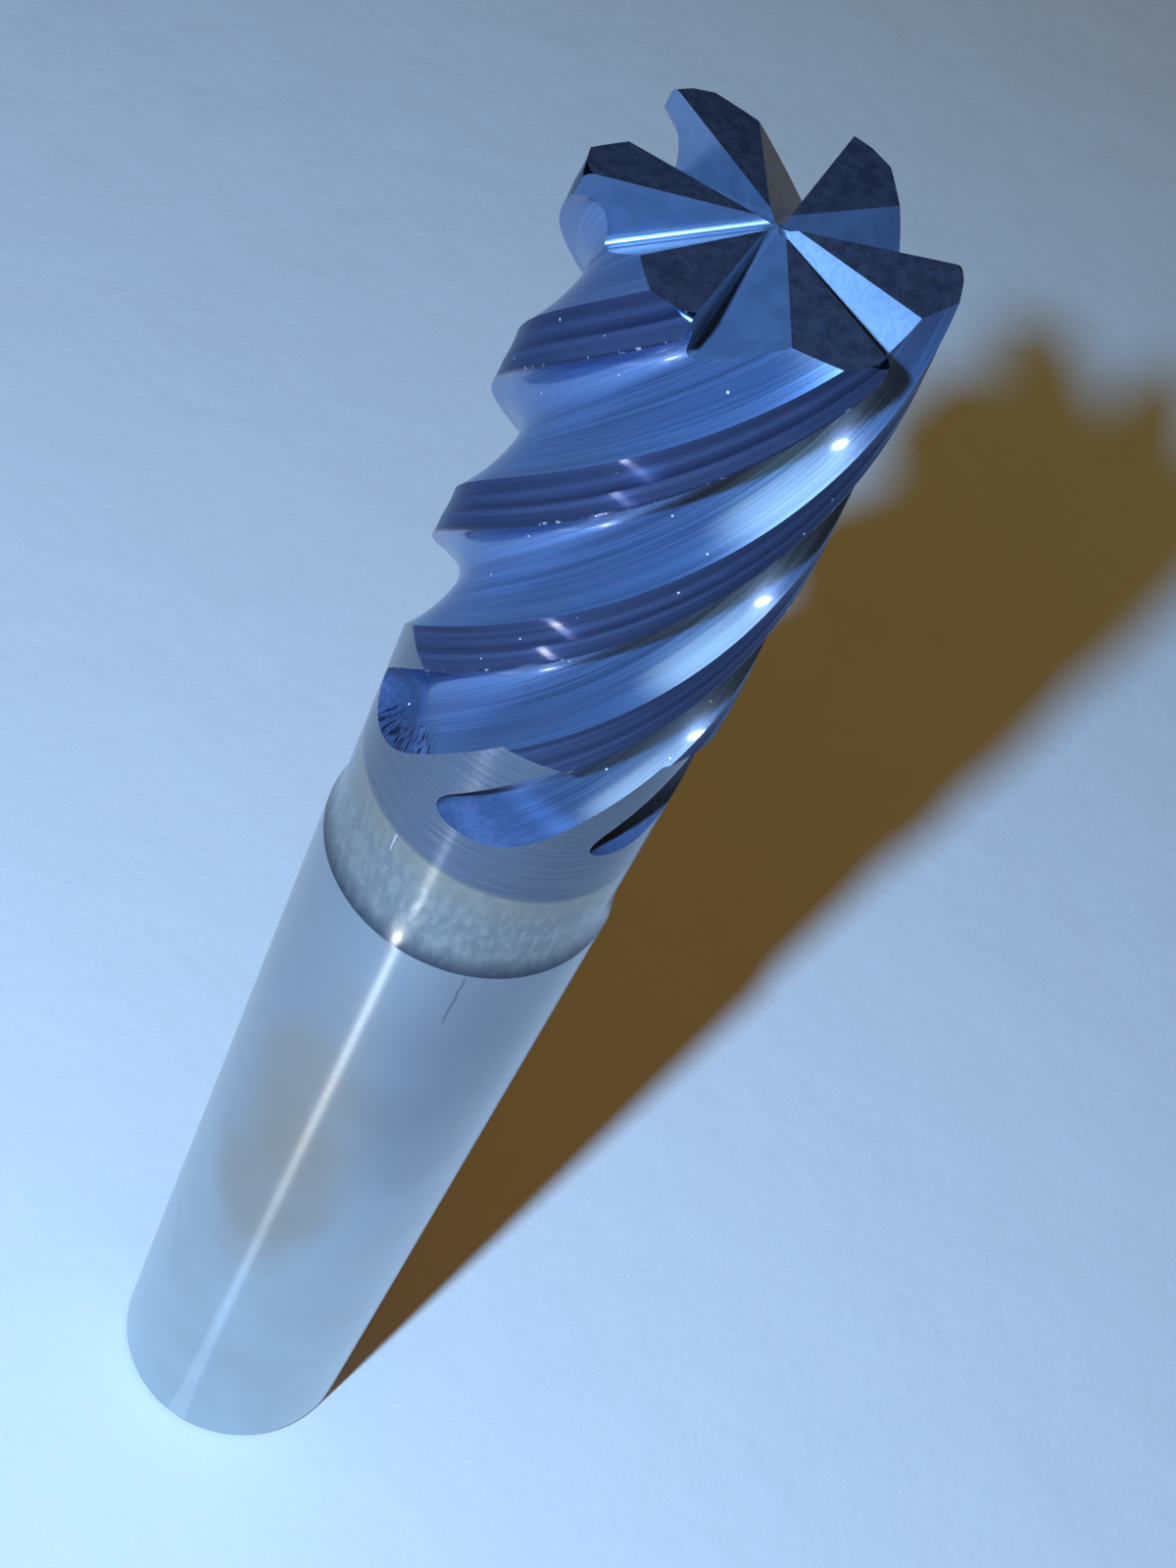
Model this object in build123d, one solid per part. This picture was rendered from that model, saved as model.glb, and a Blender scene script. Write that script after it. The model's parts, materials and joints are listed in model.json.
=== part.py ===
from build123d import *
from math import cos, pi, radians, sin, sqrt, tan
import os

# Solid carbide corner radius end mill: six flutes, right-hand cut, right-hand helix.
# Millimetres. The origin is the centre of the shank's end face, and +Z runs along the axis to the
# cutting end. The outer corner of one tooth's end edge lies in the XZ plane, on the +X side.

# Blank
shank_d = 12.0
shank_length = 47.0
shank_chamfer = 0.45
neck_d = 11.5
neck_blend_r = 9.0
cutter_d = 12.0
overall_length = 79.6
cut_length = 19.5
step_length = 0.25
corner_r = 0.35

# Flutes
flute_count = 6
helix_angle = 40.7
rake_angle = 8.0
web_r = 4.44
heel_angle = 19.5
runout_start = 56.3
runout_arc_r = 1.78
runout_drift = 10.9

# Land behind each cutting edge
margin_angle = 0.6
primary_width = 0.75
primary_relief = 8.0
secondary_relief = 18.0

# End of the tool, seen along the axis
edge_lead = 4.9
edge_offset = 0.15
end_relief = 8.0
dish_angle = 1.2
gash_dip = 25.0
gash_angle = 55.0
gash_depth = 0.34
gash_root_r = 0.2

# Values worked out from the sizes above
shank_r = shank_d / 2
neck_r = neck_d / 2
cutter_r = cutter_d / 2
tooth_pitch = 360 / flute_count
lead = pi * cutter_d / tan(radians(helix_angle))

# How far each cut reaches past the tool: outside it, above its end, below the step and past a heel
clear_r = cutter_r + 1.2
past_end = 0.6
past_step = 0.8
past_heel_angle = 5.0

# Spans between the sections drawn along a flute and a relief, and the run-out arc's angles
flute_spans = 22
relief_spans = 20
runout_arc_angles = (75, 60, 45, 30, 15, 0)


def polar(r, angle):
    """A point of the transverse plane at a radius and an angle in degrees."""
    return (r * cos(radians(angle)), r * sin(radians(angle)))


def edge_angle(z):
    """Angle of the helical cutting edge at a height, taken from the tooth's end corner."""
    return edge_lead + 360 * (z - overall_length) / lead


def make_blank():
    """The ground blank: shank, blended neck, cutting diameter and corner radius, turned about Z."""
    rise = shank_r - neck_r
    blend_height = sqrt(neck_blend_r**2 - (neck_blend_r - rise) ** 2)
    blend_sag = neck_blend_r - sqrt(neck_blend_r**2 - (blend_height / 2) ** 2)
    neck_start = shank_length + blend_height
    neck_end = overall_length - cut_length
    corner = corner_r * (1 - cos(radians(45)))
    with BuildPart() as blank:
        with BuildSketch(Plane.XZ):
            with BuildLine():
                Line((0, 0), (shank_r - shank_chamfer, 0))
                Line((shank_r - shank_chamfer, 0), (shank_r, shank_chamfer))
                Line((shank_r, shank_chamfer), (shank_r, shank_length))
                ThreePointArc(
                    (shank_r, shank_length),
                    (neck_r + blend_sag, neck_start - blend_height / 2),
                    (neck_r, neck_start),
                )
                Line((neck_r, neck_start), (neck_r, neck_end - step_length))
                Line((neck_r, neck_end - step_length), (cutter_r, neck_end))
                Line((cutter_r, neck_end), (cutter_r, overall_length - corner_r))
                ThreePointArc(
                    (cutter_r, overall_length - corner_r),
                    (cutter_r - corner, overall_length - corner),
                    (cutter_r - corner_r, overall_length),
                )
                Line((cutter_r - corner_r, overall_length), (0, overall_length))
                Line((0, overall_length), (0, 0))
            make_face()
        revolve(axis=Axis.Z)
    return blank.part


def flute_outline():
    """Outline of one flute in the transverse plane, ahead of a tooth whose edge is on +X.

    The rake face hooks inward from the edge on an arc, which runs out tangent into the flat back
    of the next tooth. The back would just touch a circle of radius web_r.
    """
    rake = radians(rake_angle)
    hook_r = (cutter_r - web_r) / (1 + sin(rake))
    hook_x = cutter_r - hook_r * sin(rake)
    hook_y = hook_r * cos(rake)
    halfway = radians(225) - rake / 2
    outside = clear_r - cutter_r
    edge = (cutter_r, 0)
    above_edge = (cutter_r + outside * cos(rake), outside * sin(rake))
    hook_mid = (hook_x + hook_r * cos(halfway), hook_y + hook_r * sin(halfway))
    floor_end = (web_r, hook_y)
    above_heel = (web_r, sqrt(clear_r**2 - web_r**2))
    crown_angle = 25.0
    crown_rise = 0.4
    crown = polar(clear_r + crown_rise, crown_angle)
    with BuildSketch() as outline:
        with BuildLine():
            Line(above_edge, edge)
            ThreePointArc(edge, hook_mid, floor_end)
            Line(floor_end, above_heel)
            ThreePointArc(above_heel, crown, above_edge)
        make_face()
    return outline.sketch


def relief_outline():
    """Outline of what the two relief grinds take off behind an edge on +X."""
    start = polar(cutter_r, -margin_angle)
    primary = radians(primary_relief)
    secondary = radians(secondary_relief)
    ridge = (start[0] - primary_width * sin(primary), start[1] - primary_width * cos(primary))
    end_angle = heel_angle + past_heel_angle
    past_heel = cutter_r * radians(end_angle) - primary_width
    heel = (ridge[0] - past_heel * sin(secondary), ridge[1] - past_heel * cos(secondary))
    above_heel = polar(clear_r, -end_angle)
    above_start = polar(clear_r, -margin_angle)
    crown = polar(clear_r + 0.3, -end_angle / 2)
    with BuildSketch() as outline:
        with BuildLine():
            Polyline(start, ridge, heel, above_heel)
            ThreePointArc(above_heel, crown, above_start)
            Line(above_start, start)
        make_face()
    return outline.sketch


def helical_cutter(outline, heights):
    """Carries an outline along the helix, drawn out of the flute below runout_start."""
    sections = []
    for z in heights:
        out = runout_lift(z)
        turn = Rot(0, 0, edge_angle(z) + runout_drift * out)
        sections.append(Pos(0, 0, z) * turn * Pos(out, 0, 0) * outline)
    return loft(sections)


def spaced(low, high, spans):
    """Evenly spaced heights from low to high, both ends included."""
    return [low + (high - low) * k / spans for k in range(spans + 1)]


def runout_lift(z):
    """The wheel leaves the flute on an arc below runout_start."""
    drop = max(0.0, runout_start - z)
    return runout_arc_r - sqrt(runout_arc_r**2 - drop**2)


def make_flute():
    """One flute along the helix, from where the wheel starts to leave it to past the end."""
    heights = spaced(runout_start, overall_length + past_end, flute_spans)
    return helical_cutter(flute_outline(), heights)


def make_runout():
    """The end of one flute, where the wheel draws out through the neck on an arc."""
    heights = [runout_start - runout_arc_r * sin(radians(a)) for a in runout_arc_angles]
    return helical_cutter(flute_outline(), heights)


def make_land_relief():
    """The primary and secondary relief behind one edge, down to the neck."""
    bottom = overall_length - cut_length - past_step
    heights = spaced(bottom, overall_length + past_end, relief_spans)
    return helical_cutter(relief_outline(), heights)


def make_gash():
    """The V-shaped gash ahead of one tooth. Its upright side makes the end edge.

    The root runs along the upright side and dips outward from the axis.
    """
    height = 8.0
    before_axis = 3.0
    dip = radians(gash_dip)
    slope = tan(radians(gash_angle))
    along = Vector(cos(dip), 0, -sin(dip))
    root = Vector(0, -edge_offset, overall_length - gash_depth / cos(dip))
    with BuildSketch() as vee:
        with BuildLine():
            Polyline((0, 0), (0, height), (height * slope, height), (0, 0))
        make_face()
        fillet(vee.vertices().sort_by_distance((0, 0, 0))[0], gash_root_r)
    plane = Plane(origin=root - along * before_axis, x_dir=(0, 1, 0), z_dir=along)
    return extrude(plane * vee.sketch, amount=before_axis + 2 * cutter_r)


def make_end_relief():
    """What the end relief takes off above one tooth's end face."""
    relief = radians(end_relief)
    dish = radians(dish_angle)
    wedge_angle = 51.0
    reach = 2 * cutter_r
    depth = 2.0
    with BuildPart() as wedge:
        with BuildSketch(Plane.XY.offset(-depth)):
            with BuildLine():
                Polyline((0, 0), (reach, 0), polar(reach, -wedge_angle / 2), polar(reach, -wedge_angle), (0, 0))
            make_face()
        extrude(amount=2 * depth)
    corner = Vector(cutter_r - corner_r, -edge_offset, overall_length)
    normal = Vector(-tan(dish), -tan(relief), 1)
    floor = Plane(origin=corner, x_dir=(1, 0, tan(dish)), z_dir=normal)
    block = Pos(0, -edge_offset, overall_length) * wedge.part
    above = floor * Box(2 * reach, 2 * reach, reach, align=(Align.CENTER, Align.CENTER, Align.MIN))
    return block & above


def make_end_mill():
    """The blank less six each of the flutes, run-outs, gashes and reliefs, ground one by one."""
    body = make_blank()
    for make in (make_flute, make_runout, make_gash, make_land_relief, make_end_relief):
        cutter = make()
        for k in range(flute_count):
            body = body - Rot(0, 0, tooth_pitch * k) * cutter
        print(f"after {make.__name__}: {body.volume:.1f} mm3, {len(body.faces())} faces")
    return body


os.makedirs("parts", exist_ok=True)
end_mill = make_end_mill()
export_step(end_mill, "parts/end_mill.step")
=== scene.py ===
# %% [markdown]
# # A corner radius end mill
#
# The real tool is ground from one bar of cemented carbide. A plain shank goes into the holder, a
# slimmer neck clears the wall of the cut, and six helical flutes end in six small end teeth. The
# head and neck carry a thin blue-violet hard coating. The shank is left bare.
#
# This lesson grinds the head again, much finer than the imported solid, and then gives each ground
# surface the finish that its own wheel leaves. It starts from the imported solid, which fixes the
# size.

# %% Load the frame
import json
from math import cos, pi, radians, sin, sqrt, tan

import bpy
import numpy as np
from mathutils import Matrix, Vector

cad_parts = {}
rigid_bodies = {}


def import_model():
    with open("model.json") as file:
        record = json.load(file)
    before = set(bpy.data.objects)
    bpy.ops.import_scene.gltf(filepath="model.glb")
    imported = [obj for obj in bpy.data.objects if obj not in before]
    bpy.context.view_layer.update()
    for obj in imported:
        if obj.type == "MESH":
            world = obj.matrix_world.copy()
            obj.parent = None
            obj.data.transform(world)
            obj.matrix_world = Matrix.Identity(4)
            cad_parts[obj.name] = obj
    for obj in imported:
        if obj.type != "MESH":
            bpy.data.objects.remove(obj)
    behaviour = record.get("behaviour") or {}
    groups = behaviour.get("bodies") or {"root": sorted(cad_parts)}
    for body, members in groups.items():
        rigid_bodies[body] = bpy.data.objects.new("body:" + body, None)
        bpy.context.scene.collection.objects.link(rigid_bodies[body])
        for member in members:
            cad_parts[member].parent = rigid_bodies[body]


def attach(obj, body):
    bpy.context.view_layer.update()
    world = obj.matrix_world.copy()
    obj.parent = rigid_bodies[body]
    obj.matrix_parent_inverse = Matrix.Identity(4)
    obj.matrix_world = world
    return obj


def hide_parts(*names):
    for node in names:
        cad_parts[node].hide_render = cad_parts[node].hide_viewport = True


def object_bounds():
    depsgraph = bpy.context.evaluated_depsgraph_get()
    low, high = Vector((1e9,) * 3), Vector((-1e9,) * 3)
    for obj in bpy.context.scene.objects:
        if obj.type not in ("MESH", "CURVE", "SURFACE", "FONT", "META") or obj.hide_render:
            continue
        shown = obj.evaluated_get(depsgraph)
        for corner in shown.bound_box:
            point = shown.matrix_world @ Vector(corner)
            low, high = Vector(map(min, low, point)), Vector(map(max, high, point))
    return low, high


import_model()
cad_low, cad_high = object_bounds()
mm = 0.001
overall_length = cad_high.z
cutter_r = cad_high.x
print(f"packed solid: {overall_length / mm:.2f} mm long, {2 * cutter_r / mm:.2f} mm across")

# %% [markdown]
# ## Sizes
#
# A tool grinder is set with a few numbers: the helix angle, the rake, the web and the reliefs. The
# same numbers drive every surface below. Lengths are in metres, as Blender wants them, and angles
# in degrees.

# %% Sizes of the blank
shank_r = cutter_r
shank_length = 47.0 * mm
shank_chamfer = 0.45 * mm
neck_r = 5.75 * mm
neck_blend_r = 9.0 * mm
cut_length = 19.5 * mm
step_length = 0.25 * mm
corner_r = 0.35 * mm

# %% Settings of the grinding wheels
flute_count = 6
tooth_pitch = 360 / flute_count
helix_angle = 40.7
rake_angle = 8.0
web_r = 4.44 * mm
heel_angle = 19.5
runout_start = 56.3 * mm
runout_arc_r = 1.78 * mm
runout_drift = 10.9 / mm
margin_angle = 0.6
primary_width = 0.75 * mm
primary_relief = 8.0
secondary_relief = 18.0
edge_lead = 4.9
edge_offset = 0.15 * mm
end_relief = 8.0
dish_angle = 1.2
gash_dip = 25.0
gash_angle = 55.0
gash_depth = 0.34 * mm
gash_root_r = 0.2 * mm
lead = 2 * pi * cutter_r / tan(radians(helix_angle))
print(f"one turn of the helix is {lead / mm:.1f} mm long")

# %% How far each wheel reaches past the tool
clear_r = cutter_r + 1.2 * mm
past_end = 0.6 * mm
past_step = 0.8 * mm
past_heel_angle = 5.0
past_crown_angle = 7.0

# %% [markdown]
# ## A ring at a time
#
# The blank and every wheel's path are the same kind of surface: a closed ring of points that is
# carried along, with a cap on each end. So one function makes them all. The rings run
# counter-clockwise when you look back along the path, which makes every face point outwards.

# %% Ring surfaces
def ring_mesh(name, rings):
    """A closed mesh from an array of rings, shaped (rings, points, 3).

    Each ring is joined to the next by four-sided faces, and the first and last ring are capped.
    """
    count, around = rings.shape[:2]
    index = np.arange(count * around).reshape(count, around)
    ahead = np.roll(index, -1, axis=1)
    sides = np.stack([index[:-1], ahead[:-1], ahead[1:], index[1:]], axis=-1).reshape(-1, 4)
    caps = [index[0, ::-1].tolist(), index[-1].tolist()]
    mesh = bpy.data.meshes.new(name)
    mesh.from_pydata(rings.reshape(-1, 3).tolist(), [], sides.tolist() + caps)
    return add_object(name, mesh)


def add_object(name, data):
    """An object with this mesh, camera or lamp, linked to the scene."""
    obj = bpy.data.objects.new(name, data)
    bpy.context.scene.collection.objects.link(obj)
    return obj


# %% [markdown]
# ## The blank
#
# The bar is turned and ground round before any flute is cut. The neck meets the shank in a hollow
# blend that leaves the shank a sharp rim. A lathe shape is a profile of radius and height pairs, so
# each pair becomes one ring.

# %% Profile of the blank
def arc(centre, radius, first, last, count):
    """Points on an arc: the centre plus the radius times the cosine and sine of each angle."""
    angle = np.radians(np.linspace(first, last, count))
    return np.stack(
        [centre[0] + radius * np.cos(angle), centre[1] + radius * np.sin(angle)], axis=1
    )


def blank_profile(blend_points=25, corner_points=17):
    """Radius and height pairs up the side of the blank, from the shank end to the cutting end."""
    blend_centre_r = neck_r + neck_blend_r
    blend_angle = np.degrees(np.arccos((blend_centre_r - shank_r) / neck_blend_r))
    blend_centre = (blend_centre_r, shank_length + neck_blend_r * sin(radians(blend_angle)))
    neck_end = overall_length - cut_length
    corner_centre = (cutter_r - corner_r, overall_length - corner_r)
    return np.concatenate([
        [(shank_r - shank_chamfer, 0.0), (shank_r, shank_chamfer)],
        arc(blend_centre, neck_blend_r, 180 + blend_angle, 180, blend_points),
        [(neck_r, neck_end - step_length), (cutter_r, neck_end)],
        arc(corner_centre, corner_r, 0, 90, corner_points),
    ])


# %% Turn the blank
def turned_blank(around):
    """Each profile pair turned about Z: x = r cos a, y = r sin a."""
    profile = blank_profile()
    angle = np.linspace(0, 2 * pi, around, endpoint=False)
    rings = np.empty((len(profile), around, 3))
    rings[..., 0] = profile[:, :1] * np.cos(angle)
    rings[..., 1] = profile[:, :1] * np.sin(angle)
    rings[..., 2] = profile[:, 1:]
    return ring_mesh("end_mill_body", rings)


body = turned_blank(around=360)
print(f"blank: {len(body.data.polygons)} faces")

# %% [markdown]
# ## The wheels' paths
#
# A flute, and the relief behind each edge, keep one outline across the axis and turn with the
# helix as they go up. Below `runout_start` the wheel draws out of the flute on an arc, so the
# outline also moves outwards and drifts round.

# %% The helix and the run-out
def edge_angle(z):
    """Angle of the helical edge at a height: it turns once per lead."""
    return edge_lead + 360 * (z - overall_length) / lead


def runout_lift(z):
    """How far the wheel is drawn out: nothing in the flute, then a circular arc below it."""
    drop = np.maximum(0.0, runout_start - z)
    return runout_arc_r - np.sqrt(runout_arc_r**2 - drop**2)


def helical_cutter(name, outline, heights):
    """Carries an outline up the helix, moved out by the lift and then turned by the edge angle.

    Turning by an angle a takes x, y to x cos a - y sin a, x sin a + y cos a.
    """
    out = runout_lift(heights)
    turn = np.radians(edge_angle(heights) + runout_drift * out)[:, None]
    x = outline[None, :, 0] + out[:, None]
    y = np.broadcast_to(outline[None, :, 1], x.shape)
    z = np.broadcast_to(heights[:, None], x.shape)
    turned_x = x * np.cos(turn) - y * np.sin(turn)
    turned_y = x * np.sin(turn) + y * np.cos(turn)
    return ring_mesh(name, np.stack([turned_x, turned_y, z], axis=-1))


# %% [markdown]
# ## One flute
#
# Seen along the axis, the rake face starts at the cutting edge, hooks inward on an arc and runs
# out into the flat back of the next tooth. Only the arc needs many points. The rest of the outline
# lies outside the bar.

# %% Outline of a flute
def flute_outline(back_points=14, hook_points=33, crown_points=6):
    """The flute ahead of a tooth whose edge is on +X, counter-clockwise.

    The hook's radius is (cutter_r - web_r) / (1 + sin rake), so it leaves the edge at the rake
    angle and touches a circle of radius web_r.
    """
    rake = radians(rake_angle)
    hook_r = (cutter_r - web_r) / (1 + sin(rake))
    hook = (cutter_r - hook_r * sin(rake), hook_r * cos(rake))
    outside = clear_r - cutter_r
    above_edge = (cutter_r + outside * cos(rake), outside * sin(rake))
    crown_r = clear_r + 0.3 * mm
    first_crown_angle, last_crown_angle = 12, 42
    back = np.linspace(sqrt(clear_r**2 - web_r**2), hook[1], back_points)
    return np.concatenate([
        [above_edge],
        arc((0, 0), crown_r, first_crown_angle, last_crown_angle, crown_points),
        np.stack([np.full(back_points, web_r), back], axis=1),
        arc(hook, hook_r, 180, 270 - rake_angle, hook_points)[1:],
    ])


# %% The flute wheel's path
head_top = overall_length + past_end
runout_end_angle = 77
runout_rings = 40
flute_rings = 96
runout_angles = np.radians(np.linspace(runout_end_angle, 0, runout_rings))
flute_heights = np.concatenate([
    runout_start - runout_arc_r * np.sin(runout_angles),
    np.linspace(runout_start, head_top, flute_rings)[1:],
])
flute = helical_cutter("flute_wheel", flute_outline(), flute_heights)
print(f"flute wheel: {len(flute.data.polygons)} faces")

# %% [markdown]
# ## The relief behind an edge
#
# Behind the edge a hair's breadth of the round bar is kept as a margin. Then come the narrow
# primary relief and the steeper secondary relief, both flat across. They keep the tooth from
# rubbing.

# %% Outline of the two reliefs
def polar(radius, angle):
    """A point across the axis at a radius and an angle in degrees."""
    return np.array((radius * cos(radians(angle)), radius * sin(radians(angle))))


def slope(angle):
    """One metre backwards along a relief: down by the sine and back by the cosine of its angle."""
    return -np.array((sin(radians(angle)), cos(radians(angle))))


def relief_outline(crown_points=6, primary_points=5, secondary_points=8):
    """What the two reliefs take off behind an edge on +X, counter-clockwise."""
    start = polar(cutter_r, -margin_angle)
    ridge = start + primary_width * slope(primary_relief)
    past_heel = cutter_r * radians(heel_angle + past_heel_angle) - primary_width
    heel = ridge + past_heel * slope(secondary_relief)
    return np.concatenate([
        arc((0, 0), clear_r, -heel_angle - past_crown_angle, -margin_angle, crown_points),
        np.linspace(start, ridge, primary_points),
        np.linspace(ridge, heel, secondary_points)[1:],
    ])


relief_rings = 90
relief_bottom = overall_length - cut_length - past_step
relief_heights = np.linspace(relief_bottom, head_top, relief_rings)
land = helical_cutter("relief_wheel", relief_outline(), relief_heights)
print(f"relief wheel: {len(land.data.polygons)} faces")

# %% [markdown]
# ## The end teeth
#
# A thin wheel gashes a V ahead of each end edge, and its upright side becomes the edge's face.
# The root dips outward. Then the end is relieved behind each edge, with a slight dish towards the
# axis. Both are flat wheels, so both paths are prisms.

# %% The gash wheel's path
def gash_wheel(root_points=25):
    """The V section, with a rounded root, carried along the dipping root line.

    Across the path, u runs along Y away from the upright side, and v runs up at right angles.
    """
    height = 8 * mm
    before_axis = 3 * mm
    root_height = gash_root_r / tan(radians(gash_angle / 2))
    vee = np.concatenate([
        [(0.0, height)],
        arc((gash_root_r, root_height), gash_root_r, 180, 360 - gash_angle, root_points),
        [(height * tan(radians(gash_angle)), height)],
    ])
    dip = radians(gash_dip)
    along = np.array((cos(dip), 0, -sin(dip)))
    up = np.array((sin(dip), 0, cos(dip)))
    root = np.array((0, -edge_offset, overall_length - gash_depth / cos(dip)))
    section = vee[:, :1] * np.array((0, 1, 0)) + vee[:, 1:] * up
    rings = np.stack([root + step * along + section for step in (-before_axis, 2 * cutter_r)])
    return ring_mesh("gash_wheel", rings)


# %% The end wheel's path
def end_wheel():
    """A wedge behind the end edge, whose floor falls back by the relief and inward by the dish.

    The floor is at overall_length + (x - corner) tan(dish) + (y - edge) tan(relief).
    """
    wedge_r = clear_r + 1 * mm
    far_r = 1.2 * wedge_r
    back_angle, middle_angle = -51, -28
    overlap = 0.02 * mm
    roof_rise = 3 * mm
    corners = ((far_r, back_angle), (far_r, middle_angle), (wedge_r, 0), (0, 0))
    wedge = np.stack([polar(radius, angle) for radius, angle in corners])
    wedge[:, 1] -= edge_offset - overlap
    rise = tan(radians(dish_angle)) * (wedge[:, 0] - (cutter_r - corner_r))
    rise += tan(radians(end_relief)) * (wedge[:, 1] + edge_offset)
    floor = np.column_stack([wedge, overall_length + rise])
    roof = np.column_stack([wedge, np.full(len(wedge), overall_length + roof_rise)])
    return ring_mesh("end_wheel", np.stack([floor, roof]))


gash = gash_wheel()
end = end_wheel()
print(f"gash wheel: {len(gash.data.polygons)} faces, end wheel: {len(end.data.polygons)} faces")

# %% [markdown]
# ## Grinding
#
# Each wheel cuts the blank six times, one tooth pitch apart, with a Boolean modifier that is
# applied at once. The modifier hands the wheel's material to the faces it cuts, so every surface
# knows which wheel made it. That is how the finishes below tell a flute from a land.

# %% Give each wheel a material
finish_names = ["bar_finish", "flute_finish", "land_finish", "gash_finish", "end_finish"]
finishes = {name: bpy.data.materials.new(name) for name in finish_names}
for obj, name in zip((body, flute, land, gash, end), finish_names):
    obj.data.materials.append(finishes[name])


# %% Cut the flutes, gashes and reliefs
def grind(work, wheel):
    """Cuts the wheel's path from the work at every tooth, and then takes the wheel away."""
    for k in range(flute_count):
        wheel.matrix_world = Matrix.Rotation(radians(tooth_pitch * k), 4, "Z")
        cut = work.modifiers.new("cut", "BOOLEAN")
        cut.operation = "DIFFERENCE"
        cut.solver = "MANIFOLD"
        cut.material_mode = "TRANSFER"
        cut.object = wheel
        shape = work.evaluated_get(bpy.context.evaluated_depsgraph_get())
        result = bpy.data.meshes.new_from_object(shape)
        work.modifiers.remove(cut)
        work.data = result
    print(f"after {flute_count} cuts of the {wheel.name}: {len(work.data.polygons)} faces")
    bpy.data.objects.remove(wheel)


for wheel in (flute, gash, land, end):
    grind(body, wheel)

# %% [markdown]
# ## Sharp edges
#
# A ground surface is smooth and meets the next one in a sharp edge. Faces that meet at more than
# a few degrees keep a hard edge, also the low ridge between the two reliefs, which is why each
# land shows two glints and not one.

# %% Shade the body
sharp_angle = 8
body.data.shade_smooth()
body.data.set_sharp_from_angle(angle=radians(sharp_angle))
print("materials on the body:", [m.name for m in body.data.materials])
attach(body, "root")
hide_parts("end_mill")

# %% [markdown]
# ## Materials from nodes
#
# A finish in Blender is a tree of nodes. A few short functions keep the trees readable: one adds a
# node and plugs in what it is given, and the others wrap the nodes that every finish uses.

# %% Node helpers
def new_tree(material):
    """Empties a material and returns its node tree."""
    material.use_nodes = True
    material.node_tree.nodes.clear()
    return material.node_tree


def node(tree, kind, inputs=None, **settings):
    """Adds a node. An input is either another node's socket or a plain value."""
    made = tree.nodes.new("ShaderNode" + kind)
    for key, value in settings.items():
        setattr(made, key, value)
    for key, value in (inputs or {}).items():
        if isinstance(value, bpy.types.NodeSocket):
            tree.links.new(value, made.inputs[key])
        else:
            made.inputs[key].default_value = value
    return made


# %% Arithmetic on sockets
def calc(tree, operation, *values):
    """A Math node on sockets or numbers."""
    return node(tree, "Math", dict(enumerate(values)), operation=operation).outputs[0]


def times(tree, first, second):
    """The product of two sockets or numbers."""
    return calc(tree, "MULTIPLY", first, second)


def plus(tree, first, second):
    """The sum of two sockets or numbers."""
    return calc(tree, "ADD", first, second)


def point(tree, x, y, z):
    """A vector from three sockets or numbers."""
    return node(tree, "CombineXYZ", {"X": x, "Y": y, "Z": z}).outputs[0]


# %% Ramps, mixes and noise
def ramp(tree, value, low, high, to_low=0.0, to_high=1.0):
    """A smooth step from to_low to to_high as the value goes from low to high."""
    limits = {"From Min": low, "From Max": high, "To Min": to_low, "To Max": to_high}
    made = node(tree, "MapRange", {"Value": value, **limits}, interpolation_type="SMOOTHSTEP")
    return made.outputs[0]


def mix(tree, share, first, second):
    """A colour between two colours: first (1 - share) + second share."""
    made = node(tree, "Mix", data_type="RGBA")
    for key, value in (("Factor_Float", share), ("A_Color", first), ("B_Color", second)):
        socket = next(s for s in made.inputs if s.identifier == key)
        if isinstance(value, bpy.types.NodeSocket):
            tree.links.new(value, socket)
        else:
            socket.default_value = (*value, 1)
    return next(s for s in made.outputs if s.identifier == "Result_Color")


def noise(tree, vector, scale=1.0, detail=2.0, roughness=0.5):
    """A noise value from about 0.25 to 0.75 at a point."""
    settings = {"Vector": vector, "Scale": scale, "Detail": detail, "Roughness": roughness}
    return node(tree, "TexNoise", settings).outputs["Fac"]


def dent(tree, height, depth):
    """A bump of a given depth in metres."""
    inputs = {"Height": height, "Strength": 1.0, "Distance": depth}
    return node(tree, "Bump", inputs).outputs["Normal"]


def surface(tree, inputs):
    """The one shader of a finish, joined to the material's output."""
    shader = node(tree, "BsdfPrincipled", inputs)
    node(tree, "OutputMaterial", {"Surface": shader.outputs[0]})


# %% [markdown]
# ## Where a point lies on the tool
#
# Every mark on a ground tool follows the axis, the turn round it or the helix. So the finishes
# don't work in x, y and z. They work in the distance from the axis, the turn, the height and the
# angle behind the nearest cutting edge.

# %% Coordinates on the tool
def tool_places(tree):
    """Where a point lies on the tool, in millimetres and degrees.

    r is the root of x x + y y, turn is the angle of (x, y) and z is the height. behind is how far
    the point trails the next cutting edge: one tooth pitch, less what the turn is past the edge
    before it, whose own angle depends on the height.
    """
    place = node(tree, "TexCoord").outputs["Object"]
    place = node(tree, "VectorMath", {0: place, "Scale": 1 / mm}, operation="SCALE").outputs[0]
    part = node(tree, "SeparateXYZ", {0: place}).outputs
    x, y, z = part["X"], part["Y"], part["Z"]
    turn = times(tree, calc(tree, "ARCTAN2", y, x), 180 / pi)
    r = calc(tree, "POWER", plus(tree, times(tree, x, x), times(tree, y, y)), 0.5)
    below_end = calc(tree, "SUBTRACT", z, overall_length / mm)
    edge_turn = plus(tree, times(tree, below_end, 360 * mm / lead), edge_lead)
    ahead = calc(tree, "FLOORED_MODULO", calc(tree, "SUBTRACT", turn, edge_turn), tooth_pitch)
    behind = calc(tree, "SUBTRACT", tooth_pitch, ahead)
    return {"place": place, "x": x, "y": y, "z": z, "r": r, "turn": turn, "behind": behind}


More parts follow.
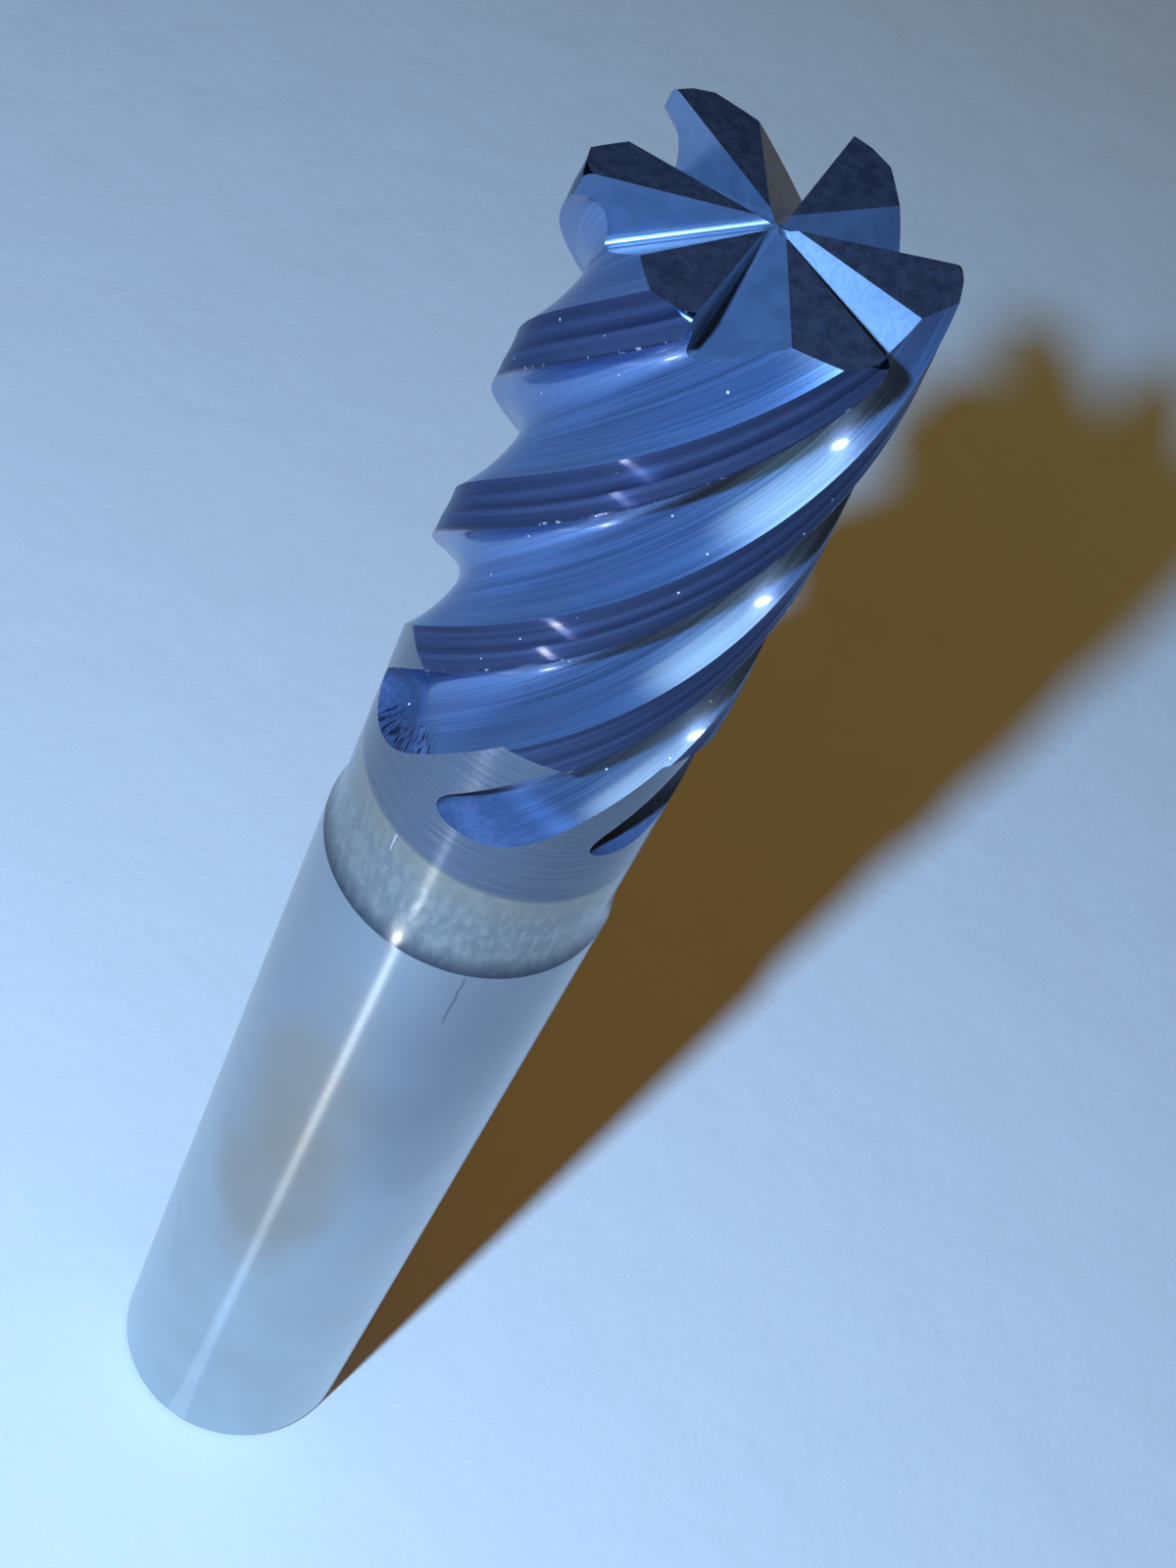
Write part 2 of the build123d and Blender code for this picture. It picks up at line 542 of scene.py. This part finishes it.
def distance(tree, first, second):
    """How far two values are apart: their difference without its sign."""
    return calc(tree, "ABSOLUTE", calc(tree, "SUBTRACT", first, second))


# %% [markdown]
# ## How a ground surface shines
#
# A grinding wheel leaves fine scratches along its path. They hardly blur a reflection along
# themselves and blur it a lot across, so a lamp shows as a thin streak across the scratches. The
# surface shader's Anisotropic value does this, once its Tangent says which way the blur is longest.
#
# Every flute was swept by one screw motion, so at any point its scratches run along (-w y, w x, 1),
# with w the turn per millimetre. On the bar itself they run straight round, along (-y, x, 0). The
# blur runs across both, along the cross product of that direction and the surface normal. The
# relief wheel is set across the lands, so their blur simply runs up the axis.

# %% Directions of the longest blur
def across_scratches(tree, at, around, rise):
    """Across scratches that run along (-around y, around x, rise)."""
    path = point(tree, times(tree, at["y"], -around), times(tree, at["x"], around), rise)
    normal = node(tree, "NewGeometry").outputs["Normal"]
    crossed = node(tree, "VectorMath", {0: path, 1: normal}, operation="CROSS_PRODUCT")
    return crossed.outputs[0]


def along_axis(tree):
    """Up the axis."""
    return point(tree, 0.0, 0.0, 1.0)


turn_per_mm = 2 * pi * mm / lead
print(f"the flutes' scratches turn {360 * mm / lead:.2f} degrees for each millimetre up")

# %% [markdown]
# ## Marks along the helix
#
# Noise that is stretched along the screw motion gives the streaks: it reads the radius and the
# angle behind the edge at full scale, and the height only a little. Two small marks go with it.
# Bright specks are grains of dust and tiny chips, and the slanting dashes near the rim of one
# run-out are chatter, where the wheel juddered as it left.

# %% Streaks and specks
cutter_r_mm = cutter_r / mm
speck_white = (0.75, 0.80, 0.86)


def along_helix(tree, at, fine, stretch):
    """A point in streak space: fine across the scratches, slow along them."""
    reach = times(tree, at["behind"], cutter_r_mm * pi / 180)
    return point(
        tree, times(tree, reach, fine), times(tree, at["r"], fine), times(tree, at["z"], stretch)
    )


def specks(tree, at, cells_per_mm=2.5, size=0.12, share=0.07):
    """Tiny bright grains: 1 near the middle of a few random cells, and 0 elsewhere."""
    cells = node(tree, "TexVoronoi", {"Vector": at["place"], "Scale": cells_per_mm})
    draw = node(tree, "SeparateXYZ", {0: cells.outputs["Color"]}).outputs["X"]
    chosen = calc(tree, "LESS_THAN", draw, share)
    return times(tree, chosen, calc(tree, "LESS_THAN", cells.outputs["Distance"], size))


# %% Chatter marks
chatter_turn = -158.0
chatter_ink = (0.008, 0.010, 0.025)


def chatter_marks(tree, at):
    """Short slanting marks near the rim of one run-out.

    They are noise in the point (0.42 turn + 4.6 z, 0.2 turn - 2 z), kept only near the rim, in
    the run-out and within about 26 degrees of its middle.
    """
    first = plus(tree, times(tree, at["turn"], 0.42), times(tree, at["z"], 4.6))
    second = calc(tree, "SUBTRACT", times(tree, at["turn"], 0.2), times(tree, at["z"], 2.0))
    mark = ramp(tree, noise(tree, point(tree, first, second, 0.0), detail=1), 0.50, 0.56)
    near_rim = ramp(tree, at["r"], 4.75, 5.35)
    in_runout = ramp(tree, at["z"], 57.6, 56.6)
    in_turn = ramp(tree, distance(tree, at["turn"], chatter_turn), 22.0, 30.0, 1.0, 0.0)
    return times(tree, mark, times(tree, times(tree, near_rim, in_runout), in_turn))


# %% [markdown]
# ## The coating in the flutes
#
# The flutes are the brightest blue. The coating is metallic, so most of its colour comes from what
# it mirrors, and a small dull share keeps it blue in full lamp light. A weak clear coat gives the
# sharp white glint. Where the wheel drew out, the surface is dark, rough and dull. Towards the heel
# the flute is painted paler, a painted highlight.

# %% Flute colours
coat_blue = (0.128, 0.210, 0.415)
coat_deep = (0.068, 0.122, 0.262)
# painted highlight: the paler colour painted towards the heel of each flute
heel_painted_sheen = (0.190, 0.260, 0.430)
coat_violet = (0.112, 0.165, 0.335)
runout_deep = (0.024, 0.034, 0.072)
runout_blue = (0.040, 0.055, 0.110)
flute_tint = (0.5, 0.6, 0.8, 1)
coat_ior = 1.7


def flute_color(tree, at, streak, runout):
    """Fine streaks, broad violet bands, a painted highlight towards the heel and the dark run-out.
    """
    band = noise(tree, along_helix(tree, at, 1.2, 0.05), detail=1)
    color = mix(tree, ramp(tree, streak, 0.36, 0.64), coat_deep, coat_blue)
    color = mix(tree, ramp(tree, band, 0.45, 0.75, 0.0, 0.35), color, coat_violet)
    # painted highlight: the flute is painted paler towards the heel, where it catches the lamp and
    # mirrors the paper
    color = mix(tree, ramp(tree, at["behind"], 20.0, 30.0, 0.35, 0.0), color, heel_painted_sheen)
    rough_blue = mix(tree, ramp(tree, streak, 0.35, 0.65), runout_deep, runout_blue)
    color = mix(tree, runout, color, rough_blue)
    return mix(tree, chatter_marks(tree, at), color, chatter_ink)


# %% Flute finish
def flute_finish():
    """Coated flute: helical streaks, bright specks, and dull where the wheel drew out."""
    tree = new_tree(finishes["flute_finish"])
    at = tool_places(tree)
    streak = noise(tree, along_helix(tree, at, 8.0, 0.08), detail=4, roughness=0.75)
    runout = ramp(tree, at["z"], 55.8, 57.6, 1.0, 0.0)
    speck = specks(tree, at)
    blur = plus(tree, ramp(tree, streak, 0.3, 0.7, 0.22, 0.29), times(tree, runout, 0.45))
    surface(tree, {
        "Base Color": mix(tree, speck, flute_color(tree, at, streak, runout), speck_white),
        "Roughness": plus(tree, blur, times(tree, speck, 0.3)),
        "Metallic": ramp(tree, runout, 0.0, 1.0, 0.79, 0.05),
        "Specular Tint": flute_tint,
        "Anisotropic": 0.65,
        "Tangent": across_scratches(tree, at, turn_per_mm, 1.0),
        "Normal": dent(tree, streak, 0.0005 * mm),
        "Coat Weight": ramp(tree, runout, 0.0, 0.6, 0.4, 0.0),
        "Coat Roughness": 0.06,
        "Coat IOR": coat_ior,
    })


flute_finish()

# %% [markdown]
# ## The lands
#
# The lands are ground last and finest. They mirror a darker part of the room than the flutes do,
# so they look almost navy, with a few long bands along the helix.

# %% Land finish
land_deep = (0.018, 0.027, 0.070)
land_blue = (0.048, 0.064, 0.138)
land_streak = (0.035, 0.05, 0.12)
land_tint = (0.3, 0.4, 0.7, 1)


def land_finish():
    """Coated land: a few long bands along the helix, a shade darker than the flutes."""
    tree = new_tree(finishes["land_finish"])
    at = tool_places(tree)
    streak = noise(tree, along_helix(tree, at, 9.0, 0.08), detail=2)
    band = noise(tree, along_helix(tree, at, 2.6, 0.04), detail=1)
    color = mix(tree, ramp(tree, band, 0.38, 0.62), land_deep, land_blue)
    color = mix(tree, ramp(tree, streak, 0.4, 0.7, 0.0, 0.4), color, land_streak)
    surface(tree, {
        "Base Color": mix(tree, specks(tree, at), color, speck_white),
        "Roughness": ramp(tree, band, 0.3, 0.7, 0.18, 0.21),
        "Metallic": 0.75,
        "Specular IOR Level": 0.3,
        "Specular Tint": land_tint,
        "Anisotropic": 1.0,
        "Tangent": along_axis(tree),
        "Normal": dent(tree, streak, 0.0005 * mm),
        "Coat Weight": 0.22,
        "Coat Roughness": 0.10,
        "Coat IOR": coat_ior,
    })


land_finish()

# %% [markdown]
# ## The end of the tool
#
# The end facets look up into the dark room, so they are nearly black with a faint mottle. They are
# too small to show which way they were ground, so they are left without anisotropy.

# %% End finish
facet_dark = (0.17, 0.175, 0.265)
facet_pale = (0.28, 0.285, 0.405)


def end_finish():
    """Coated end facets: metallic, so nearly black against a dark room, with a faint mottle."""
    tree = new_tree(finishes["end_finish"])
    at = tool_places(tree)
    mottle = noise(tree, at["place"], 2.2, detail=5, roughness=0.65)
    fine = noise(tree, at["place"], 9.0, detail=3)
    surface(tree, {
        "Base Color": mix(tree, ramp(tree, mottle, 0.35, 0.65), facet_dark, facet_pale),
        "Roughness": ramp(tree, fine, 0.3, 0.7, 0.26, 0.34),
        "Metallic": 0.94,
        "Normal": dent(tree, fine, 0.0012 * mm),
    })


end_finish()

# %% [markdown]
# ## The gash walls
#
# A thin wheel grinds the gashes without a final polish, so their walls are satin. A rough clear
# coat over the metal spreads the lamp's light evenly over them, with no streak.

# %% Gash finish
gash_deep = (0.068, 0.100, 0.172)
gash_blue = (0.085, 0.122, 0.205)


def gash_finish():
    """Coated gash walls: satin, with faint marks from the thin wheel."""
    tree = new_tree(finishes["gash_finish"])
    at = tool_places(tree)
    fine = noise(tree, at["place"], 6.0, detail=3)
    broad = noise(tree, at["place"], 1.2, detail=2)
    surface(tree, {
        "Base Color": mix(tree, ramp(tree, broad, 0.35, 0.65), gash_deep, gash_blue),
        "Roughness": ramp(tree, fine, 0.3, 0.7, 0.28, 0.34),
        "Metallic": 0.6,
        "Normal": dent(tree, fine, 0.0006 * mm),
        "Coat Weight": 1.0,
        "Coat Roughness": 0.36,
        "Coat IOR": coat_ior,
    })


gash_finish()

# %% [markdown]
# ## The bar
#
# One surface carries three finishes, one above the other: the bare polished shank, the bare band
# that a mask kept free of coating, and the coated neck. The coating starts on a line that slants a
# little, because the mask sat askew. A used tool also has a brown stained patch and a scratch or
# two, which are patches and short lines at a set turn and height. A second patch of the same kind
# is painted shade near the top of the shank, and the shank is painted lighter towards its end and
# darker towards the top.

# %% Stained patches, painted shade and scratches
def stain_and_shade_patch(tree, at, turn, half_width, z, half_height):
    """A cloudy patch round a point, for a brown stained patch and for painted shade.

    The squared distances in turn and height, each over its half size, add up, and noise frays
    the result.
    """
    aside = calc(tree, "DIVIDE", calc(tree, "SUBTRACT", at["turn"], turn), half_width)
    up = calc(tree, "DIVIDE", calc(tree, "SUBTRACT", at["z"], z), half_height)
    away = plus(tree, times(tree, aside, aside), times(tree, up, up))
    cloud = noise(tree, at["place"], 0.2, detail=2, roughness=0.4)
    fray = ramp(tree, cloud, 0.25, 0.75, -0.25, 0.25)
    return ramp(tree, plus(tree, away, fray), -0.2, 1.5, 1.0, 0.0)


def scratch(tree, at, turn, half_width, z, half_height):
    """A short line along the bar: within its half width in degrees and half height in mm."""
    wave = ramp(tree, noise(tree, at["place"], 1.5), 0.3, 0.7, -0.25, 0.25)
    aside = calc(tree, "SUBTRACT", at["turn"], turn)
    aside = calc(tree, "ABSOLUTE", plus(tree, aside, wave))
    line = ramp(tree, aside, half_width * 0.5, half_width, 0.8, 0.0)
    inside = ramp(tree, distance(tree, at["z"], z), half_height * 0.6, half_height, 1.0, 0.0)
    return times(tree, line, inside)


# %% Places and colours on the bar
brown_stain = {"turn": -129.0, "half_width": 34.0, "z": 30.0, "half_height": 12.0}
# painted shade: a darker patch near the top of the shank on one side
shank_painted_shade_patch = {"turn": -78.0, "half_width": 36.0, "z": 42.0, "half_height": 13.0}
dark_scratch = {"turn": -93.5, "half_width": 0.5, "z": 45.2, "half_height": 2.0}
bright_scratch = {"turn": -140.2, "half_width": 0.45, "z": 51.7, "half_height": 0.6}
coat_edge = 52.2
coat_edge_slant = 0.33
coat_edge_high_side = 155.0
# painted light and shade: the shank is painted lighter near its end and darker towards the top
steel_painted_light_low = (0.47, 0.53, 0.55)
steel_painted_shade_high = (0.33, 0.37, 0.41)
steel_cloud = (0.40, 0.40, 0.41)
steel_line = (0.32, 0.35, 0.38)
band_dark = (0.25, 0.27, 0.28)
band_pale = (0.35, 0.37, 0.36)
band_tan = (0.34, 0.31, 0.26)
# painted reflection: the dark that the hollow by the rim mirrors, painted as colour
hollow_painted_reflection = (0.03, 0.045, 0.085)
neck_deep = (0.125, 0.15, 0.20)
neck_pale = (0.175, 0.20, 0.255)
stain_brown = (0.36, 0.315, 0.265)
# colour of the painted shade patch
painted_shade_grey = (0.22, 0.24, 0.28)
scratch_dark = (0.10, 0.12, 0.16)
scratch_bright = (0.75, 0.78, 0.8)


# %% Shank and band colours
def shank_color(tree, at, turned):
    """Bare greyish steel with clouds, fine lines and a brown stained patch; painted lighter towards
    the end and darker towards the top, with a patch of painted shade near the top on one side.
    """
    cloud = noise(tree, at["place"], 0.22, detail=3, roughness=0.5)
    # painted light and shade along the height of the shank
    steel = mix(tree, ramp(tree, at["z"], 8.0, 44.0), steel_painted_light_low, steel_painted_shade_high)
    steel = mix(tree, ramp(tree, cloud, 0.35, 0.7, 0.0, 0.35), steel, steel_cloud)
    steel = mix(tree, ramp(tree, turned, 0.4, 0.75, 0.0, 0.15), steel, steel_line)
    steel = mix(tree, stain_and_shade_patch(tree, at, **brown_stain), steel, stain_brown)
    # painted shade near the top of the shank
    painted_shade_share = times(tree, stain_and_shade_patch(tree, at, **shank_painted_shade_patch), 0.7)
    steel = mix(tree, painted_shade_share, steel, painted_shade_grey)
    return mix(tree, scratch(tree, at, **dark_scratch), steel, scratch_dark)


def band_color(tree, at, above):
    """Rubbed bare metal, tanned near the coating, with a painted dark reflection in the hollow by
    the rim.
    """
    rub = point(tree, *(times(tree, at[k], s) for k, s in (("x", 3.0), ("y", 3.0), ("z", 1.3))))
    band = mix(tree, ramp(tree, noise(tree, rub, detail=3), 0.35, 0.7), band_dark, band_pale)
    band = mix(tree, times(tree, ramp(tree, above, -2.2, -0.35), 0.6), band, band_tan)
    # painted reflection: the hollow just above the rim is painted dark
    band = mix(tree, ramp(tree, at["z"], 46.7, 48.4, 0.1, 1.0), hollow_painted_reflection, band)
    return mix(tree, scratch(tree, at, **bright_scratch), band, scratch_bright)


# %% [markdown]
# The round margin behind each cutting edge is what the wheels left of the bar, so it belongs to
# this finish as well. It is coated like a land, and its edge is worn bright in places.

# %% Bar finish
shank_top = shank_length / mm
head_start = 60.2
coat_edge_grey = (0.17, 0.17, 0.19)
margin_blue = (0.03, 0.045, 0.10)
worn_grey = (0.42, 0.46, 0.52)


def bar_finish():
    """Bare shank, the masked band above it, and the coated neck above a slanting line."""
    tree = new_tree(finishes["bar_finish"])
    at = tool_places(tree)
    from_high_side = calc(tree, "SUBTRACT", at["turn"], coat_edge_high_side)
    side = calc(tree, "COSINE", times(tree, from_high_side, pi / 180))
    line = plus(tree, times(tree, side, coat_edge_slant), coat_edge)
    above = calc(tree, "SUBTRACT", at["z"], line)
    ring = point(tree, *(times(tree, at[k], s) for k, s in (("x", 0.25), ("y", 0.25), ("z", 9.0))))
    turned = noise(tree, ring, detail=4, roughness=0.7)
    shank_share = ramp(tree, at["z"], shank_top - 0.02, shank_top + 0.02)
    color = mix(tree, shank_share, shank_color(tree, at, turned), band_color(tree, at, above))
    neck = mix(tree, ramp(tree, turned, 0.35, 0.7), neck_deep, neck_pale)
    color = mix(tree, ramp(tree, above, -0.15, 0.15), color, neck)
    edge_line = ramp(tree, calc(tree, "ABSOLUTE", above), 0.0, 0.2, 0.6, 0.0)
    color = mix(tree, edge_line, color, coat_edge_grey)
    on_head = ramp(tree, at["z"], head_start, head_start + 0.2)
    color = mix(tree, on_head, color, margin_blue)
    chips = ramp(tree, noise(tree, at["place"], 3.0, detail=3), 0.62, 0.68)
    surface(tree, {
        "Base Color": mix(tree, times(tree, on_head, chips), color, worn_grey),
        "Roughness": ramp(tree, turned, 0.3, 0.7, 0.17, 0.22),
        "Metallic": 0.97,
        "Anisotropic": 0.4,
        "Tangent": across_scratches(tree, at, 1.0, 0.0),
    })


bar_finish()
for name, material in finishes.items():
    print(f"{name}: {len(material.node_tree.nodes)} nodes")

# %% [markdown]
# ## Paper
#
# The tool stands on pale paper. The paper is dull, with a little fibre in it, so it shows the lamp
# as a soft pool of light and keeps the tool's shadow. Its colour is painted light: dim and warm
# near the lamp's foot, bright and cool far from it, so the far paper is lighter than the lamp makes
# it.

# %% Paper
lamp_place = Vector((-48, -59, 133)) * mm
lamp_foot = (lamp_place.x, lamp_place.y, 0)
# painted light: paper colours dim and warm near the lamp's foot, bright and cool far from it
paper_painted_near_shade = (0.82, 0.69, 0.62)
paper_painted_far_light = (0.80, 0.92, 0.98)
paper_fibre = (0.68, 0.66, 0.66)


def paper_sheet(half, name):
    """A flat square of paper under the tool."""
    mesh = bpy.data.meshes.new(name)
    corners = [(-half, -half, 0), (half, -half, 0), (half, half, 0), (-half, half, 0)]
    mesh.from_pydata(corners, [], [(0, 1, 2, 3)])
    obj = add_object(name, mesh)
    material = bpy.data.materials.new(name)
    tree = new_tree(material)
    place = node(tree, "TexCoord").outputs["Object"]
    away = node(tree, "VectorMath", {0: place, 1: lamp_foot}, operation="DISTANCE")
    # painted light: the share of the far colour grows with distance from the lamp's foot
    painted_falloff = ramp(tree, away.outputs["Value"], 60 * mm, 230 * mm)
    fibre = noise(tree, place, 90.0, detail=6, roughness=0.65)
    color = mix(tree, painted_falloff, paper_painted_near_shade, paper_painted_far_light)
    surface(tree, {
        "Base Color": mix(tree, ramp(tree, fibre, 0.35, 0.7, 0.0, 0.12), color, paper_fibre),
        "Roughness": 0.85,
        "Specular IOR Level": 0.0,
        "Normal": dent(tree, fibre, 0.28 * mm),
    })
    mesh.materials.append(material)
    print(f"{name}: {2 * half:.0f} m wide")


paper_sheet(1.5, "paper")

# %% [markdown]
# ## Camera
#
# The camera stands where the photograph was taken: above the tool and in front of it, turned so
# that the tool leans across the picture. Its place and angles come from a fit to the tool's
# outline, so they are plain numbers.

# %% Camera
camera_place = Vector((-21.95, -53.73, 119.85)) * mm
camera_heading = 64.99
camera_tilt = 48.78
camera_roll = 28.15
camera_data = bpy.data.cameras.new("camera")
camera_data.sensor_width = 36
camera_data.lens = 54.07
camera_data.clip_start = 0.005
camera_data.clip_end = 5
camera = add_object("camera", camera_data)
bpy.context.scene.camera = camera
heading = Matrix.Rotation(radians(camera_heading - 90), 4, "Z")
tilt = Matrix.Rotation(radians(90 - camera_tilt), 4, "X")
roll = Matrix.Rotation(radians(camera_roll), 4, "Z")
camera.matrix_world = Matrix.Translation(camera_place) @ heading @ tilt @ roll
print(f"the camera is {camera_place.z / mm:.0f} mm above the paper")

# %% [markdown]
# ## Lamp
#
# One small blue-white lamp close to the camera throws the long shadow. It is so near that the head
# gets about three times the light that the paper round the foot gets, as in the photograph.

# %% Lamp
lamp_aim = Vector((20, 40, 0)) * mm
lamp_data = bpy.data.lights.new("lamp", "SPOT")
lamp_data.energy = 1.72
lamp_data.color = (0.29, 0.577, 1.0)
lamp_data.shadow_soft_size = 2.5 * mm
lamp_data.spot_size = radians(160)
lamp_data.spot_blend = 0.6
lamp = add_object("lamp", lamp_data)
lamp_turn = (lamp_aim - lamp_place).to_track_quat("-Z", "Y").to_matrix().to_4x4()
lamp.matrix_world = Matrix.Translation(lamp_place) @ lamp_turn
to_foot = lamp_place.length
to_head = (lamp_place - Vector((0, 0, overall_length))).length
head_gain = to_foot**3 / (to_head**2 * lamp_place.z)
print(f"facing the lamp, the head gets {head_gain:.1f} times the light of the paper at the foot")

# %% [markdown]
# ## What the polish mirrors
#
# A polished bar shows its surroundings, and the photograph doesn't show what stood behind the
# camera. Two narrow glowing strips on the paper stand in for it. They are hidden from the camera
# and light nothing, so only reflections see them. The near one makes the thin streak up the shank,
# and the far one makes the glints on the lands.

# %% Strip lamps
strip_start = Vector((-3.1, -5.1, 0.3)) * mm
strip_along = Vector((-0.659, -0.752, 0))
strip_across = Vector((0.752, -0.659, 0))
strip_root_tint = (0.46, 0.68, 1.0)


def strip_lamp(name, first, last, near_glow, far_glow, far_tint):
    """A narrow glowing strip on the paper in front of the tool, seen only in reflections.

    Its ends are pairs of distance from the start and half width. The glow rises from the near end
    to the far end, and fades over its last stretch.
    """
    full_from, fade_from = 0.8 * last[0], 0.86 * last[0]
    points = [
        strip_start + s * strip_along + side * w * strip_across
        for s, w in (first, last) for side in (1, -1)
    ]
    mesh = bpy.data.meshes.new(name)
    mesh.from_pydata(points, [], [(0, 1, 3, 2)])
    strip = add_object(name, mesh)
    strip.visible_camera = strip.visible_diffuse = strip.visible_shadow = False
    material = bpy.data.materials.new(name)
    tree = new_tree(material)
    place = node(tree, "TexCoord").outputs["Object"]
    away = node(tree, "VectorMath", {0: place, 1: strip_start}, operation="DISTANCE")
    away = away.outputs["Value"]
    glow = ramp(tree, away, first[0], full_from, near_glow, far_glow)
    fade = ramp(tree, away, fade_from, last[0], 1.0, 0.1)
    tint = mix(tree, ramp(tree, away, 5 * mm, 30 * mm), strip_root_tint, far_tint)
    shine = node(tree, "Emission", {"Color": tint, "Strength": times(tree, glow, fade)})
    node(tree, "OutputMaterial", {"Surface": shine.outputs[0]})
    mesh.materials.append(material)
    print(f"{name}: {(last[0] - first[0]) / mm:.0f} mm long")


# %% Lay the two strips
strip_lamp("near_strip", (0.1 * mm, 0.6 * mm), (46 * mm, 1.8 * mm), 1.5, 4.0, (0.72, 0.85, 1.0))
strip_lamp("far_strip", (69 * mm, 2.5 * mm), (88 * mm, 3 * mm), 36.0, 36.0, (1.0, 0.95, 0.85))

# %% [markdown]
# ## Room
#
# The world light does two jobs, and the Light Path node tells them apart. Dull surfaces get a dim
# brown light, which colours the shadow. Shining surfaces see a dark room over a grey wall, with a
# soft window that pales the flutes on the right and a small bulb that makes their white glints.

# %% Colours and patches of the room
room_brown = (0.145, 0.0945, 0.030)
room_wall = (0.04, 0.05, 0.06)
room_dark = (0.001, 0.001, 0.002)
window_way = (-0.07, -0.987, 0.148)
window_glow = (2.4, 2.9, 2.4)
bulb_way = (0.39, -0.918, 0.07)
bulb_glow = (26.0, 26.0, 25.0)


def patch(tree, direction, way, edge, middle):
    """A soft round patch of the room: 1 where the cosine of the angle from a way is large."""
    cosine = node(tree, "VectorMath", {0: direction, 1: way}, operation="DOT_PRODUCT")
    return ramp(tree, cosine.outputs["Value"], edge, middle)


# %% Room
def room_light():
    """Dim brown light for dull surfaces, and a dark room with two bright patches for the rest."""
    world = bpy.data.worlds.new("room")
    bpy.context.scene.world = world
    world.use_nodes = True
    tree = world.node_tree
    tree.nodes.clear()
    direction = node(tree, "TexCoord").outputs["Generated"]
    up = node(tree, "SeparateXYZ", {0: direction}).outputs["Z"]
    rays = node(tree, "LightPath").outputs
    seen = mix(tree, ramp(tree, up, 0.05, 0.2), room_wall, room_dark)
    for way, edge, middle, glow in (
        (window_way, 0.84, 0.995, window_glow),
        (bulb_way, 0.9982, 0.9992, bulb_glow),
    ):
        share = times(tree, patch(tree, direction, way, edge, middle), rays["Is Glossy Ray"])
        seen = mix(tree, share, seen, glow)
    color = mix(tree, rays["Is Diffuse Ray"], seen, room_brown)
    background = node(tree, "Background", {"Color": color, "Strength": 1.0})
    node(tree, "OutputWorld", {"Surface": background.outputs[0]})
    print(f"room: {len(tree.nodes)} nodes")


room_light()
bpy.context.scene.view_settings.view_transform = "Standard"
